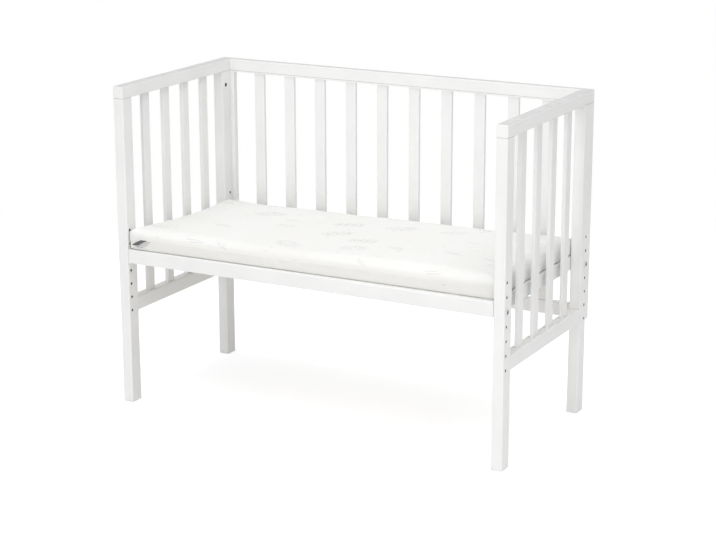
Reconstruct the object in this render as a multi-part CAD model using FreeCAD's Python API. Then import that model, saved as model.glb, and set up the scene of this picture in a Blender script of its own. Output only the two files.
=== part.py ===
import FreeCAD, Part
import math
import os

# Bedside sleeper crib, millimetres. +X runs along the length, +Y to the closed back, +Z up.
# The origin lies on the floor, in the middle of the overall length and depth.

vec = FreeCAD.Vector
along_x = vec(1, 0, 0)
along_y = vec(0, 1, 0)
along_z = vec(0, 0, 1)
same_place = 1e-6               # points nearer than this count as one

# Overall sizes
overall_length = 975.0          # between the outer faces of the two side panels
overall_height = 750.0          # floor to the top of every panel
side_depth = 454.0              # front face of the front posts to rear face of the rear posts

# Side panels
post_width = 26.0               # along X
post_depth = 36.0               # along Y
top_rail_height = 28.0
low_rail_height = 32.0
low_rail_clear = 218.0          # floor to the underside of every lower rail
side_slat_width = 27.0
side_slat_thickness = 9.0
side_slat_count = 4

# Back panel
back_thickness = 16.0
back_stile_width = 36.0
back_rail_height = 32.0
back_slat_width = 27.0
back_slat_thickness = 9.0
back_slat_count = 10

# Slat ends in their rails
mortise_depth = 8.0
mortise_fit = 0.15              # gap on each side of a slat in its mortise
slat_end_gap = 0.25             # gap between a slat's end and the mortise floor

# Eased edges
edge_round = 2.5
top_round = 2.0
slat_round = 2.2
seam_arris = 0.6                # fine chamfer on edges that meet at a joint line
foot_chamfer = 1.5

# Height holes through the posts
height_hole_count = 7
height_hole_pitch = 32.0
lowest_hole_height = 224.0
height_hole_diameter = 7.0
holes_below_base = 4            # free holes below the one in use

# Base frame
base_rail_thickness = 20.0
base_rail_height = 33.0
base_end_thickness = 12.0
bolt_height_in_base = 12.5      # underside of the base to its bolts
base_side_gap = 0.5             # base to the posts, at each end
base_face_gap = 0.5             # base to the front plane, and to the back panel

# Slatted deck
ledge_width = 14.0
ledge_height = 12.0
deck_slat_width = 50.0
deck_slat_thickness = 9.0
deck_slat_count = 11
deck_end_gap = 1.0              # deck slat's ends to the base rails
screw_diameter = 3.5
screw_head_diameter = 7.0
screw_head_height = 2.2
screw_length = 16.0
screw_fit = 0.1

# Bolts and barrel nuts
bolt_diameter = 6.0
bolt_head_diameter = 14.0
bolt_head_thickness = 2.4
bolt_head_round = 1.0
socket_across_flats = 4.0
socket_depth = 1.8
bolt_hole_diameter = 7.0
bolt_tip_past_nut = 3.0         # bolt end beyond the nut's far side
nut_diameter = 10.0
nut_length = 14.0
nut_fit = 0.1                   # radial gap of a nut in its hole
nut_thread_fit = 0.05           # radial gap of a bolt in its nut
nut_slot_width = 1.2
nut_slot_depth = 1.5
base_nut_inset = 40.0           # end of a base rail to its nut
back_nut_inset = 20.0           # rear face of a rear post to its nut
upper_back_bolt_drop = 62.0     # overall top to the upper back bolts
lower_back_bolt_height = 272.0

# Wooden dowels
side_dowel_diameter = 8.0
side_dowel_depth = 17.0         # into each of the two pieces
back_dowel_diameter = 6.0
back_dowel_depth = 15.0
base_dowel_diameter = 6.0
base_dowel_depth = 11.0
base_dowel_drop = 9.0           # top of the base to its dowels
dowel_fit = 0.08                # radial gap
dowel_end_gap = 1.0
dowel_chamfer = 0.8

# Mattress and its label
mattress_end_gap = 2.5          # mattress to the posts at each end
mattress_front_setback = 14.0   # front plane to the mattress
mattress_rear_gap = 22.0        # mattress to the back panel
mattress_lift = 0.3             # mattress over the deck
mattress_thickness = 41.0       # at its border
mattress_crown = 4.0
crown_reach = 110.0             # border to where the crown is full
mattress_corner = 16.0
mattress_draw = 2.0             # how far each side pulls in between its corners
mattress_top_round = 14.0
mattress_low_round = 6.0
label_width = 17.0
label_length = 24.0             # how far it reaches sideways from its root
label_droop = 12.0              # how far its end hangs below its root
label_thickness = 1.0
label_root_inset = 41.0         # left end of the mattress to the label's root
label_root_height = 20.0        # top of the base to the label's root
label_gap = 0.3                 # label to the mattress

# Places worked out from the sizes above
half_length = overall_length / 2
inner_half = half_length - post_width
post_mid_x = half_length - post_width / 2
front_y = -(side_depth + back_thickness + bolt_head_thickness) / 2
side_rear_y = front_y + side_depth
back_rear_y = side_rear_y + back_thickness
post_top = overall_height - top_rail_height
low_rail_top = low_rail_clear + low_rail_height
back_rail_bottom = overall_height - back_rail_height
back_low_top = low_rail_clear + back_rail_height

base_bolt_height = lowest_hole_height + holes_below_base * height_hole_pitch
base_bottom = base_bolt_height - bolt_height_in_base
base_top = base_bottom + base_rail_height
base_half = inner_half - base_side_gap
base_front_y = front_y + base_face_gap
base_rear_y = side_rear_y - base_face_gap
bolt_line_setback = base_face_gap + base_rail_thickness / 2
front_inner_y = base_front_y + base_rail_thickness
rear_inner_y = base_rear_y - base_rail_thickness
deck_half = base_half - base_end_thickness
deck_top = base_top
ledge_top = deck_top - deck_slat_thickness
ledge_bottom = ledge_top - ledge_height

mattress_bottom = deck_top + mattress_lift
mattress_border_top = mattress_bottom + mattress_thickness
mattress_half_length = inner_half - mattress_end_gap
mattress_front_y = front_y + mattress_front_setback
mattress_rear_y = side_rear_y - mattress_rear_gap
mattress_mid_y = (mattress_front_y + mattress_rear_y) / 2
mattress_half_width = (mattress_rear_y - mattress_front_y) / 2


def around(centre, width):
    return (centre - width / 2, centre + width / 2)


def on_side(side, inner, outer):
    """A span between two distances from the middle plane, on the side given by its sign."""
    return tuple(sorted((side * inner, side * outer)))


def block(x_span, y_span, z_span):
    corner = vec(x_span[0], y_span[0], z_span[0])
    length = x_span[1] - x_span[0]
    depth = y_span[1] - y_span[0]
    height = z_span[1] - z_span[0]
    return Part.makeBox(length, depth, height, corner)


def edges_along(solid, axis):
    """Straight edges that run parallel to an axis."""
    chosen = []
    for edge in solid.Edges:
        start = edge.Vertexes[0].Point
        end = edge.Vertexes[-1].Point
        if (end - start).cross(axis).Length < same_place:
            chosen.append(edge)
    return chosen


def edges_at(solid, axis, place):
    """Edges that lie in the plane across an axis, at a distance from the origin."""
    chosen = []
    for edge in solid.Edges:
        offsets = [abs(vertex.Point.dot(axis) - place) for vertex in edge.Vertexes]
        if max(offsets) < same_place:
            chosen.append(edge)
    return chosen


def bar(x_span, y_span, z_span, axis, rounding):
    """A straight bar with its four long edges rounded."""
    solid = block(x_span, y_span, z_span)
    return solid.makeFillet(rounding, edges_along(solid, axis))


def with_arris(solid, axis, place, size):
    """The same solid with a fine chamfer round one end."""
    return solid.makeChamfer(size, edges_at(solid, axis, place))


def rod(start, axis, diameter, length):
    return Part.makeCylinder(diameter / 2, length, start, axis)


def spread(low, high, width, count):
    """Centres of bars of one width that leave equal gaps between two faces."""
    gap = (high - low - count * width) / (count + 1)
    return [low + (gap + width) * (index + 1) - width / 2 for index in range(count)]


def cut_all(solid, cutters):
    return solid.cut(Part.makeCompound(cutters)) if cutters else solid


# Round fittings, each drawn along an axis from a point

def dowel(middle, axis, diameter, depth):
    """A chamfered peg that reaches equally into two pieces."""
    start = middle - axis * depth
    peg = rod(start, axis, diameter, 2 * depth)
    return peg.makeChamfer(dowel_chamfer, [edge for edge in peg.Edges if edge.Closed])


def dowel_hole(middle, axis, diameter, depth):
    reach = depth + dowel_end_gap
    return rod(middle - axis * reach, axis, diameter + 2 * dowel_fit, 2 * reach)


def hexagon(centre, axis, across_flats, depth):
    """A six-sided prism for a key socket."""
    sideways = along_z if abs(axis.dot(along_z)) < 0.5 else along_x
    third = axis.cross(sideways)
    sides = 6
    radius = across_flats / 2 / math.cos(math.pi / sides)
    corners = []
    for index in range(sides + 1):
        angle = 2 * math.pi * index / sides
        corners.append(centre + sideways * (radius * math.cos(angle)) + third * (radius * math.sin(angle)))
    return Part.Face(Part.makePolygon(corners)).extrude(axis * depth)


def bolt(seat, axis, shank_length):
    """A flat-headed bolt: its head stands out of the seat, its shank runs in along the axis."""
    head = rod(seat - axis * bolt_head_thickness, axis, bolt_head_diameter, bolt_head_thickness)
    outer_rim = [edge for edge in head.Edges
                 if edge.Closed and abs((edge.CenterOfMass - seat).dot(axis)) > bolt_head_thickness / 2]
    head = head.makeFillet(bolt_head_round, outer_rim)
    shank = rod(seat, axis, bolt_diameter, shank_length)
    far_rim = [edge for edge in shank.Edges
               if edge.Closed and (edge.CenterOfMass - seat).Length > bolt_diameter]
    shank = shank.makeChamfer(dowel_chamfer, far_rim)
    socket = hexagon(seat - axis * bolt_head_thickness, axis, socket_across_flats, socket_depth)
    return head.fuse(shank).cut(socket).removeSplitter()


def barrel_nut(centre, axis, bolt_axis):
    """A cross dowel with a hole through its middle and a driver slot in its open end."""
    body = rod(centre - axis * (nut_length / 2), axis, nut_diameter, nut_length)
    thread = rod(centre - bolt_axis * nut_diameter, bolt_axis, bolt_diameter + 2 * nut_thread_fit,
                 2 * nut_diameter)
    slot_side = axis.cross(bolt_axis)
    mouth = centre + axis * (nut_length / 2 - nut_slot_depth)
    corner = mouth - bolt_axis * nut_diameter - slot_side * (nut_slot_width / 2)
    rim = [corner,
           corner + bolt_axis * (2 * nut_diameter),
           corner + bolt_axis * (2 * nut_diameter) + slot_side * nut_slot_width,
           corner + slot_side * nut_slot_width,
           corner]
    slot = Part.Face(Part.makePolygon(rim)).extrude(axis * (2 * nut_slot_depth))
    return body.cut(thread).cut(slot)


# Side panels

side_slat_places = spread(front_y + post_depth, side_rear_y - post_depth,
                          side_slat_width, side_slat_count)
post_spans = {"front": (front_y, front_y + post_depth),
              "rear": (side_rear_y - post_depth, side_rear_y)}
bolt_lines = {"front": front_y + bolt_line_setback, "rear": side_rear_y - bolt_line_setback}
back_bolt_heights = [overall_height - upper_back_bolt_drop, lower_back_bolt_height]
back_nut_y = side_rear_y - back_nut_inset


def side_dowel_middles(side, end):
    """Middle and axis of each dowel of one post: two up into the top rail, two into the lower rail."""
    mid_y = sum(post_spans[end]) / 2
    face_y = post_spans[end][1] if end == "front" else post_spans[end][0]
    places = []
    for offset in (-post_depth / 4, post_depth / 4):
        places.append((vec(side * post_mid_x, mid_y + offset, post_top), along_z))
    for height in spread(low_rail_clear, low_rail_top, side_dowel_diameter, 2):
        places.append((vec(side * post_mid_x, face_y, height), along_y))
    return places


def side_dowel_holes(side, end):
    return [dowel_hole(middle, axis, side_dowel_diameter, side_dowel_depth)
            for middle, axis in side_dowel_middles(side, end)]


def height_hole_cutters(side, end):
    start_x = min(on_side(side, inner_half, half_length))
    cutters = []
    for index in range(height_hole_count):
        height = lowest_hole_height + index * height_hole_pitch
        start = vec(start_x, bolt_lines[end], height)
        cutters.append(rod(start, along_x, height_hole_diameter, post_width))
    return cutters


def back_bolt_cutters(side):
    """Bolt and nut holes of one rear post, for the back panel's two bolts."""
    nut_hole_depth = post_width / 2 + nut_length / 2
    cutters = []
    for height in back_bolt_heights:
        nut_mouth = vec(side * inner_half, back_nut_y, height)
        bolt_reach = back_nut_inset + nut_diameter / 2 + bolt_tip_past_nut + dowel_end_gap
        bolt_end = vec(side * post_mid_x, side_rear_y - bolt_reach, height)
        cutters.append(rod(nut_mouth, along_x * side, nut_diameter + 2 * nut_fit, nut_hole_depth))
        cutters.append(rod(bolt_end, along_y, bolt_hole_diameter, bolt_reach))
    return cutters


def side_post(side, end):
    post = bar(on_side(side, inner_half, half_length), post_spans[end], (0, post_top),
               along_z, edge_round)
    post = with_arris(post, along_z, post_top, seam_arris)
    post = with_arris(post, along_z, 0, foot_chamfer)
    cutters = height_hole_cutters(side, end) + side_dowel_holes(side, end)
    if end == "rear":
        cutters += back_bolt_cutters(side)
    return cut_all(post, cutters)


def side_slat_block(side, centre_y, z_span, extra):
    """The space of one side slat, wider by a gap on each side."""
    return bar(around(side * post_mid_x, side_slat_thickness + 2 * extra),
               around(centre_y, side_slat_width + 2 * extra),
               z_span, along_z, slat_round + extra)


def side_top_rail(side):
    rail = bar(on_side(side, inner_half, half_length), (front_y, side_rear_y),
               (post_top, overall_height), along_z, edge_round)
    rail = rail.makeFillet(top_round, edges_at(rail, along_z, overall_height))
    rail = with_arris(rail, along_z, post_top, seam_arris)
    mortises = [side_slat_block(side, place, (post_top, post_top + mortise_depth), mortise_fit)
                for place in side_slat_places]
    return cut_all(rail, mortises + side_dowel_holes(side, "front") + side_dowel_holes(side, "rear"))


def side_low_rail(side):
    front_end = front_y + post_depth
    rear_end = side_rear_y - post_depth
    rail = bar(on_side(side, inner_half, half_length), (front_end, rear_end),
               (low_rail_clear, low_rail_top), along_y, edge_round)
    rail = with_arris(rail, along_y, front_end, seam_arris)
    rail = with_arris(rail, along_y, rear_end, seam_arris)
    mortises = [side_slat_block(side, place, (low_rail_top - mortise_depth, low_rail_top), mortise_fit)
                for place in side_slat_places]
    return cut_all(rail, mortises + side_dowel_holes(side, "front") + side_dowel_holes(side, "rear"))


def side_slat(side, centre_y):
    tenon = mortise_depth - slat_end_gap
    return side_slat_block(side, centre_y, (low_rail_top - tenon, post_top + tenon), 0)


# Back panel

back_y_span = (side_rear_y, back_rear_y)
back_mid_y = sum(back_y_span) / 2
stile_inner = half_length - back_stile_width
back_slat_places = spread(-stile_inner, stile_inner, back_slat_width, back_slat_count)


def back_dowel_middles(side):
    """Two dowels up into the top rail and two across into the lower rail, for one stile."""
    places = []
    for distance in spread(stile_inner, half_length, back_dowel_diameter, 2):
        places.append((vec(side * distance, back_mid_y, back_rail_bottom), along_z))
    for height in spread(low_rail_clear, back_low_top, back_dowel_diameter, 2):
        places.append((vec(side * stile_inner, back_mid_y, height), along_x))
    return places


def back_dowel_holes(side):
    return [dowel_hole(middle, axis, back_dowel_diameter, back_dowel_depth)
            for middle, axis in back_dowel_middles(side)]


def back_slat_block(centre_x, z_span, extra):
    """The space of one back slat, wider by a gap on each side."""
    return bar(around(centre_x, back_slat_width + 2 * extra),
               around(back_mid_y, back_slat_thickness + 2 * extra),
               z_span, along_z, slat_round + extra)


def back_top_rail():
    rail = bar((-half_length, half_length), back_y_span, (back_rail_bottom, overall_height),
               along_z, edge_round)
    rail = rail.makeFillet(top_round, edges_at(rail, along_z, overall_height))
    rail = with_arris(rail, along_z, back_rail_bottom, seam_arris)
    mortises = [back_slat_block(place, (back_rail_bottom, back_rail_bottom + mortise_depth), mortise_fit)
                for place in back_slat_places]
    return cut_all(rail, mortises + back_dowel_holes(-1) + back_dowel_holes(1))


def back_low_rail():
    rail = bar((-stile_inner, stile_inner), back_y_span, (low_rail_clear, back_low_top),
               along_x, edge_round)
    rail = with_arris(rail, along_x, -stile_inner, seam_arris)
    rail = with_arris(rail, along_x, stile_inner, seam_arris)
    mortises = [back_slat_block(place, (back_low_top - mortise_depth, back_low_top), mortise_fit)
                for place in back_slat_places]
    return cut_all(rail, mortises + back_dowel_holes(-1) + back_dowel_holes(1))


def back_stile(side):
    stile = bar(on_side(side, stile_inner, half_length), back_y_span,
                (low_rail_clear, back_rail_bottom), along_z, edge_round)
    stile = with_arris(stile, along_z, back_rail_bottom, seam_arris)
    stile = with_arris(stile, along_z, low_rail_clear, seam_arris)
    bolt_holes = [rod(vec(side * post_mid_x, side_rear_y, height), along_y,
                      bolt_hole_diameter, back_thickness)
                  for height in back_bolt_heights]
    return cut_all(stile, back_dowel_holes(side) + bolt_holes)


def back_slat(centre_x):
    tenon = mortise_depth - slat_end_gap
    return back_slat_block(centre_x, (back_low_top - tenon, back_rail_bottom + tenon), 0)


# Base frame and slatted deck

base_y_spans = {"front": (base_front_y, front_inner_y), "rear": (rear_inner_y, base_rear_y)}
deck_slat_places = spread(-deck_half, deck_half, deck_slat_width, deck_slat_count)
ledge_spans = {"front": (front_inner_y, front_inner_y + ledge_width),
               "rear": (rear_inner_y - ledge_width, rear_inner_y)}
deck_y_span = (front_inner_y + deck_end_gap, rear_inner_y - deck_end_gap)
base_nut_height = base_bolt_height
base_dowel_height = base_top - base_dowel_drop
end_rail_mid = base_half - base_end_thickness / 2


def base_dowel_middle(side, end):
    face_y = front_inner_y if end == "front" else rear_inner_y
    return vec(side * end_rail_mid, face_y, base_dowel_height)


def base_dowel_hole(side, end):
    return dowel_hole(base_dowel_middle(side, end), along_y, base_dowel_diameter, base_dowel_depth)


def base_rail(end):
    """A long base rail, bored in each end for a bolt, and from below for its nut."""
    rail = bar((-base_half, base_half), base_y_spans[end], (base_bottom, base_top),
               along_x, edge_round)
    rail = with_arris(rail, along_x, -base_half, seam_arris)
    rail = with_arris(rail, along_x, base_half, seam_arris)
    bolt_reach = base_nut_inset + nut_diameter / 2 + bolt_tip_past_nut + dowel_end_gap
    nut_reach = base_nut_height + nut_length / 2 - base_bottom
    cutters = []
    for side in (-1, 1):
        end_face = vec(side * base_half, bolt_lines[end], base_bolt_height)
        nut_mouth = vec(side * (base_half - base_nut_inset), bolt_lines[end], base_bottom)
        cutters.append(rod(end_face, along_x * -side, bolt_hole_diameter, bolt_reach))
        cutters.append(rod(nut_mouth, along_z, nut_diameter + 2 * nut_fit, nut_reach))
        cutters.append(base_dowel_hole(side, end))
    return cut_all(rail, cutters)


def base_end_rail(side):
    rail = bar(on_side(side, deck_half, base_half), (front_inner_y, rear_inner_y),
               (base_bottom, base_top), along_y, edge_round)
    rail = with_arris(rail, along_y, front_inner_y, seam_arris)
    rail = with_arris(rail, along_y, rear_inner_y, seam_arris)
    return cut_all(rail, [base_dowel_hole(side, "front"), base_dowel_hole(side, "rear")])


def screw_axes(end):
    """Top points of the deck screws along one ledge."""
    mid_y = sum(ledge_spans[end]) / 2
    return [vec(place, mid_y, deck_top) for place in deck_slat_places]


def deck_screw(top, extra):
    """A countersunk screw that points down from the deck's upper face."""
    head_radius = screw_head_diameter / 2 + extra
    shank_radius = screw_diameter / 2 + extra
    head = Part.makeCone(head_radius, shank_radius, screw_head_height, top, along_z * -1)
    shank = Part.makeCylinder(shank_radius, screw_length + extra, top, along_z * -1)
    return head.fuse(shank).removeSplitter()


def base_ledge(end):
    ledge = block((-deck_half, deck_half), ledge_spans[end], (ledge_bottom, ledge_top))
    return cut_all(ledge, [deck_screw(top, screw_fit) for top in screw_axes(end)])


def deck_slat(centre_x):
    slat = bar(around(centre_x, deck_slat_width), deck_y_span, (ledge_top, deck_top),
               along_y, slat_round)
    tops = [vec(centre_x, sum(ledge_spans[end]) / 2, deck_top) for end in ledge_spans]
    return cut_all(slat, [deck_screw(top, screw_fit) for top in tops])


# Mattress

def cushion_outline(height, inset):
    """A closed outline with round corners whose four sides pull in a little."""
    half_x = mattress_half_length - inset
    half_y = mattress_half_width - inset
    bend = mattress_corner * (1 - math.sqrt(0.5))
    edges = []
    for x_sign, y_sign in ((1, -1), (1, 1), (-1, 1), (-1, -1)):
        along_end = vec(x_sign * half_x, y_sign * (half_y - mattress_corner), 0)
        along_side = vec(x_sign * (half_x - mattress_corner), y_sign * half_y, 0)
        turn = vec(x_sign * (half_x - bend), y_sign * (half_y - bend), 0)
        if x_sign * y_sign < 0:
            corner = [along_side, turn, along_end]
            far_point = vec(along_end.x, -along_end.y, 0)
            middle = vec(x_sign * (half_x - mattress_draw), 0, 0)
            side = [along_end, middle, far_point]
        else:
            corner = [along_end, turn, along_side]
            far_point = vec(-along_side.x, along_side.y, 0)
            middle = vec(0, y_sign * (half_y - mattress_draw), 0)
            side = [along_side, middle, far_point]
        edges.append(Part.Arc(*corner).toShape())
        edges.append(Part.Arc(*side).toShape())
    outline = Part.Wire(edges)
    outline.translate(vec(0, mattress_mid_y, height))
    return outline


def mattress():
    outlines = []
    for degrees in (90, 45, 0):
        angle = math.radians(degrees)
        height = mattress_bottom + mattress_low_round * (1 - math.sin(angle))
        outlines.append(cushion_outline(height, mattress_low_round * (1 - math.cos(angle))))
    for degrees in (0, 30, 60):
        angle = math.radians(degrees)
        height = mattress_border_top - mattress_top_round * (1 - math.sin(angle))
        outlines.append(cushion_outline(height, mattress_top_round * (1 - math.cos(angle))))
    for share in (0.5, 1.0):
        height = mattress_border_top + mattress_crown * math.sin(share * math.pi / 2)
        outlines.append(cushion_outline(height, mattress_top_round + share * crown_reach))
    return Part.makeLoft(outlines, True, True)


def mattress_label():
    """A bare cloth tab that hangs aslant against the front border, near the left corner."""
    rear_face = mattress_front_y - label_gap
    root = vec(label_root_inset - mattress_half_length, rear_face, base_top + label_root_height)
    hang = vec(-label_length, 0, -label_droop)
    rim = [root, root - along_x * label_width, root - along_x * label_width + hang, root + hang, root]
    return Part.Face(Part.makePolygon(rim)).extrude(along_y * -label_thickness)


# Fittings, each kind as one group

def side_dowels():
    return [dowel(middle, axis, side_dowel_diameter, side_dowel_depth)
            for side in (-1, 1)
            for end in ("front", "rear")
            for middle, axis in side_dowel_middles(side, end)]


def back_dowels():
    return [dowel(middle, axis, back_dowel_diameter, back_dowel_depth)
            for side in (-1, 1)
            for middle, axis in back_dowel_middles(side)]


def base_dowels():
    return [dowel(base_dowel_middle(side, end), along_y, base_dowel_diameter, base_dowel_depth)
            for side in (-1, 1)
            for end in ("front", "rear")]


def base_bolts():
    length = post_width + base_side_gap + base_nut_inset + nut_diameter / 2 + bolt_tip_past_nut
    return [bolt(vec(side * half_length, bolt_lines[end], base_bolt_height), along_x * -side, length)
            for side in (-1, 1)
            for end in ("front", "rear")]


def base_nuts():
    return [barrel_nut(vec(side * (base_half - base_nut_inset), bolt_lines[end], base_nut_height),
                       along_z * -1, along_x)
            for side in (-1, 1)
            for end in ("front", "rear")]


def back_bolts():
    length = back_thickness + back_nut_inset + nut_diameter / 2 + bolt_tip_past_nut
    return [bolt(vec(side * post_mid_x, back_rear_y, height), along_y * -1, length)
            for side in (-1, 1)
            for height in back_bolt_heights]


def back_nuts():
    return [barrel_nut(vec(side * post_mid_x, back_nut_y, height), along_x * -side, along_y)
            for side in (-1, 1)
            for height in back_bolt_heights]


def deck_screws():
    return [deck_screw(top, 0) for end in ledge_spans for top in screw_axes(end)]


def write(name, solids):
    """Write one node; a group of equal fittings goes in as separate solids."""
    shape = solids[0] if len(solids) == 1 else Part.makeCompound(solids)
    shape.exportStep(os.path.join("parts", name + ".step"))
    volume = sum(solid.Volume for solid in shape.Solids)
    print(f"{name}: {len(shape.Solids)} solid(s), {volume / 1000:.1f} cm3, valid {shape.isValid()}")


def main():
    os.makedirs("parts", exist_ok=True)
    for side_name, side in (("left", -1), ("right", 1)):
        for end in ("front", "rear"):
            write(f"{side_name}_{end}_post", [side_post(side, end)])
        write(f"{side_name}_top_rail", [side_top_rail(side)])
        write(f"{side_name}_lower_rail", [side_low_rail(side)])
        for number, place in enumerate(side_slat_places, 1):
            write(f"{side_name}_slat_{number}", [side_slat(side, place)])
        write(f"back_{side_name}_stile", [back_stile(side)])
        write(f"base_{side_name}_end_rail", [base_end_rail(side)])

    write("back_top_rail", [back_top_rail()])
    write("back_lower_rail", [back_low_rail()])
    for number, place in enumerate(back_slat_places, 1):
        write(f"back_slat_{number}", [back_slat(place)])

    for end in ("front", "rear"):
        write(f"base_{end}_rail", [base_rail(end)])
        write(f"base_{end}_ledge", [base_ledge(end)])
    for number, place in enumerate(deck_slat_places, 1):
        write(f"deck_slat_{number}", [deck_slat(place)])

    write("mattress", [mattress()])
    write("mattress_label", [mattress_label()])

    write("side_panel_dowels", side_dowels())
    write("back_panel_dowels", back_dowels())
    write("base_dowels", base_dowels())
    write("base_bolts", base_bolts())
    write("base_barrel_nuts", base_nuts())
    write("back_bolts", back_bolts())
    write("back_barrel_nuts", back_nuts())
    write("deck_screws", deck_screws())


main()
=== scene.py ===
import math

import bmesh
import bpy
from mathutils import Matrix, Vector, noise
from mathutils.bvhtree import BVHTree


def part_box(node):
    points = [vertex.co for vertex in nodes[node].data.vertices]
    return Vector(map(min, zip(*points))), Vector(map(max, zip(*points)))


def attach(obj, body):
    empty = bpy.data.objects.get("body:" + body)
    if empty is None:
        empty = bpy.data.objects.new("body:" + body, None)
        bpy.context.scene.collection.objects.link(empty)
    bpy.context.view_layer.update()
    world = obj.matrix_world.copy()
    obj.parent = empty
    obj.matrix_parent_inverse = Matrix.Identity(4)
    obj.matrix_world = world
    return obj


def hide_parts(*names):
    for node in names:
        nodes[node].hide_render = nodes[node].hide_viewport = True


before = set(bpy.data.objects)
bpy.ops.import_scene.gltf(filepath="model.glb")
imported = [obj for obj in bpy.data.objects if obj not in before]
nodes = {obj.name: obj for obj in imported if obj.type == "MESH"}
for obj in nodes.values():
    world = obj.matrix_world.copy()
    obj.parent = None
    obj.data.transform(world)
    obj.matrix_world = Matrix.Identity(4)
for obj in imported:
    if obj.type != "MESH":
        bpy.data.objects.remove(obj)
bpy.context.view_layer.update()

scene = bpy.context.scene
scene.view_settings.view_transform = "Standard"
mm = 0.001
print("frame loaded:", len(nodes), "nodes")


# Places that the pieces and the patterns are set out from

postLow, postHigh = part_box("right_front_post")
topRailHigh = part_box("right_top_rail")[1]
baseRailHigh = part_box("base_front_rail")[1]
boltLow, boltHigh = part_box("base_bolts")
backBoltLow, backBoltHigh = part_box("back_bolts")
deckLow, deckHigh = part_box("deck_slat_1")
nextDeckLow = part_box("deck_slat_2")[0]
mattressLow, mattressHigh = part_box("mattress")
mattressMiddle = (mattressLow + mattressHigh) / 2
mattressHalf = (mattressHigh - mattressLow) / 2
labelLow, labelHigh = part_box("mattress_label")

fittings = {
    "headRadius": 7 * mm,
    "holeRadius": 3.5 * mm,
    "holePitch": 32 * mm,
    "rowsBelowBolt": 1,          # from the bolts' row to the middle one of the seven
    "rowsReach": 3.4,            # all rows lie within this many pitches of the middle one
    "nutHoleRadius": 5.1 * mm,
    "nutBehindPost": 20 * mm,    # rear face of a rear post to its cross nuts
}
crownHeight = 4 * mm
borderTop = mattressHigh.z - crownHeight
boltHeight = (boltLow.z + boltHigh.z) / 2
middleRow = boltHeight - fittings["rowsBelowBolt"] * fittings["holePitch"]
boltLines = (boltLow.y + fittings["headRadius"], boltHigh.y - fittings["headRadius"])
backBoltX = backBoltHigh.x - fittings["headRadius"]
backBoltHeights = (backBoltLow.z + fittings["headRadius"], backBoltHigh.z - fittings["headRadius"])
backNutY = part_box("right_rear_post")[1].y - fittings["nutBehindPost"]


# Shader maths written as Python: a Signal is a socket, a Finish is the node tree of a material or of the sky

class Signal:
    def __init__(self, finish, socket):
        self.finish = finish
        self.socket = socket

    def maths(self, operation, *others):
        inputs = dict(enumerate((self, *others)))
        return self.finish.node("ShaderNodeMath", {"operation": operation}, inputs)

    def reflected(self, operation, other):
        return self.finish.node("ShaderNodeMath", {"operation": operation}, {0: other, 1: self})

    def __add__(self, other): return self.maths("ADD", other)
    def __radd__(self, other): return self.reflected("ADD", other)
    def __sub__(self, other): return self.maths("SUBTRACT", other)
    def __rsub__(self, other): return self.reflected("SUBTRACT", other)
    def __mul__(self, other): return self.maths("MULTIPLY", other)
    def __rmul__(self, other): return self.reflected("MULTIPLY", other)
    def __truediv__(self, other): return self.maths("DIVIDE", other)
    def __pow__(self, other): return self.maths("POWER", other)
    def __gt__(self, other): return self.maths("GREATER_THAN", other)
    def __lt__(self, other): return self.maths("LESS_THAN", other)
    def __abs__(self): return self.maths("ABSOLUTE")

    def least(self, other): return self.maths("MINIMUM", other)
    def most(self, other): return self.maths("MAXIMUM", other)
    def sine(self): return self.maths("SINE")
    def cosine(self): return self.maths("COSINE")
    def root(self): return self.maths("SQRT")
    def fraction(self): return self.maths("FRACT")
    def whole(self): return self.maths("FLOOR")

    def nearest(self, places):
        # distance to the nearest of some fixed places
        gaps = [abs(self - place) for place in places]
        result = gaps[0]
        for gap in gaps[1:]:
            result = result.least(gap)
        return result

    def ramp(self, low, high):
        # 0 below low, 1 above high, smooth between them
        settings = {"interpolation_type": "SMOOTHSTEP"}
        inputs = {"Value": self, "From Min": low, "From Max": high}
        return self.finish.node("ShaderNodeMapRange", settings, inputs)


class Finish:
    def __init__(self, owner):
        owner.use_nodes = True
        self.owner = owner
        self.tree = owner.node_tree
        self.tree.nodes.clear()

    def node(self, kind, settings=None, inputs=None, output=0):
        made = self.tree.nodes.new(kind)
        for key, value in (settings or {}).items():
            setattr(made, key, value)
        for key, value in (inputs or {}).items():
            if isinstance(value, Signal):
                self.tree.links.new(value.socket, made.inputs[key])
            else:
                made.inputs[key].default_value = value
        return Signal(self, made.outputs[output])

    def place(self):
        return self.node("ShaderNodeTexCoord", output="Object")

    def split(self, vector):
        first = self.node("ShaderNodeSeparateXYZ", inputs={0: vector})
        return [Signal(self, socket) for socket in first.socket.node.outputs]

    def stretched(self, vector, scale):
        return self.node("ShaderNodeMapping", inputs={"Vector": vector, "Scale": scale})

    def joined(self, x, y, z):
        return self.node("ShaderNodeCombineXYZ", inputs={0: x, 1: y, 2: z})

    def cloud(self, vector, scale, detail=2.0, roughness=0.5, distortion=0.0):
        return self.node("ShaderNodeTexNoise", inputs={
            "Vector": vector, "Scale": scale, "Detail": detail,
            "Roughness": roughness, "Distortion": distortion})

    def mixed(self, factor, first, second):
        # colours have sockets 6 and 7 of a Mix node, and its output 2
        settings = {"data_type": "RGBA", "blend_type": "MIX"}
        return self.node("ShaderNodeMix", settings, {0: factor, 6: first, 7: second}, output=2)

    def bump(self, height, distance, strength=1.0, under=None):
        inputs = {"Height": height, "Distance": distance, "Strength": strength}
        if under is not None:
            inputs["Normal"] = under
        return self.node("ShaderNodeBump", inputs=inputs)

    def ended(self, shader, kind="ShaderNodeOutputMaterial"):
        end = self.tree.nodes.new(kind)
        self.tree.links.new(shader.socket, end.inputs["Surface"])
        return self.owner

    def surface(self, **sockets):
        inputs = {name.replace("_", " "): value for name, value in sockets.items()}
        return self.ended(self.node("ShaderNodeBsdfPrincipled", inputs=inputs))


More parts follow.
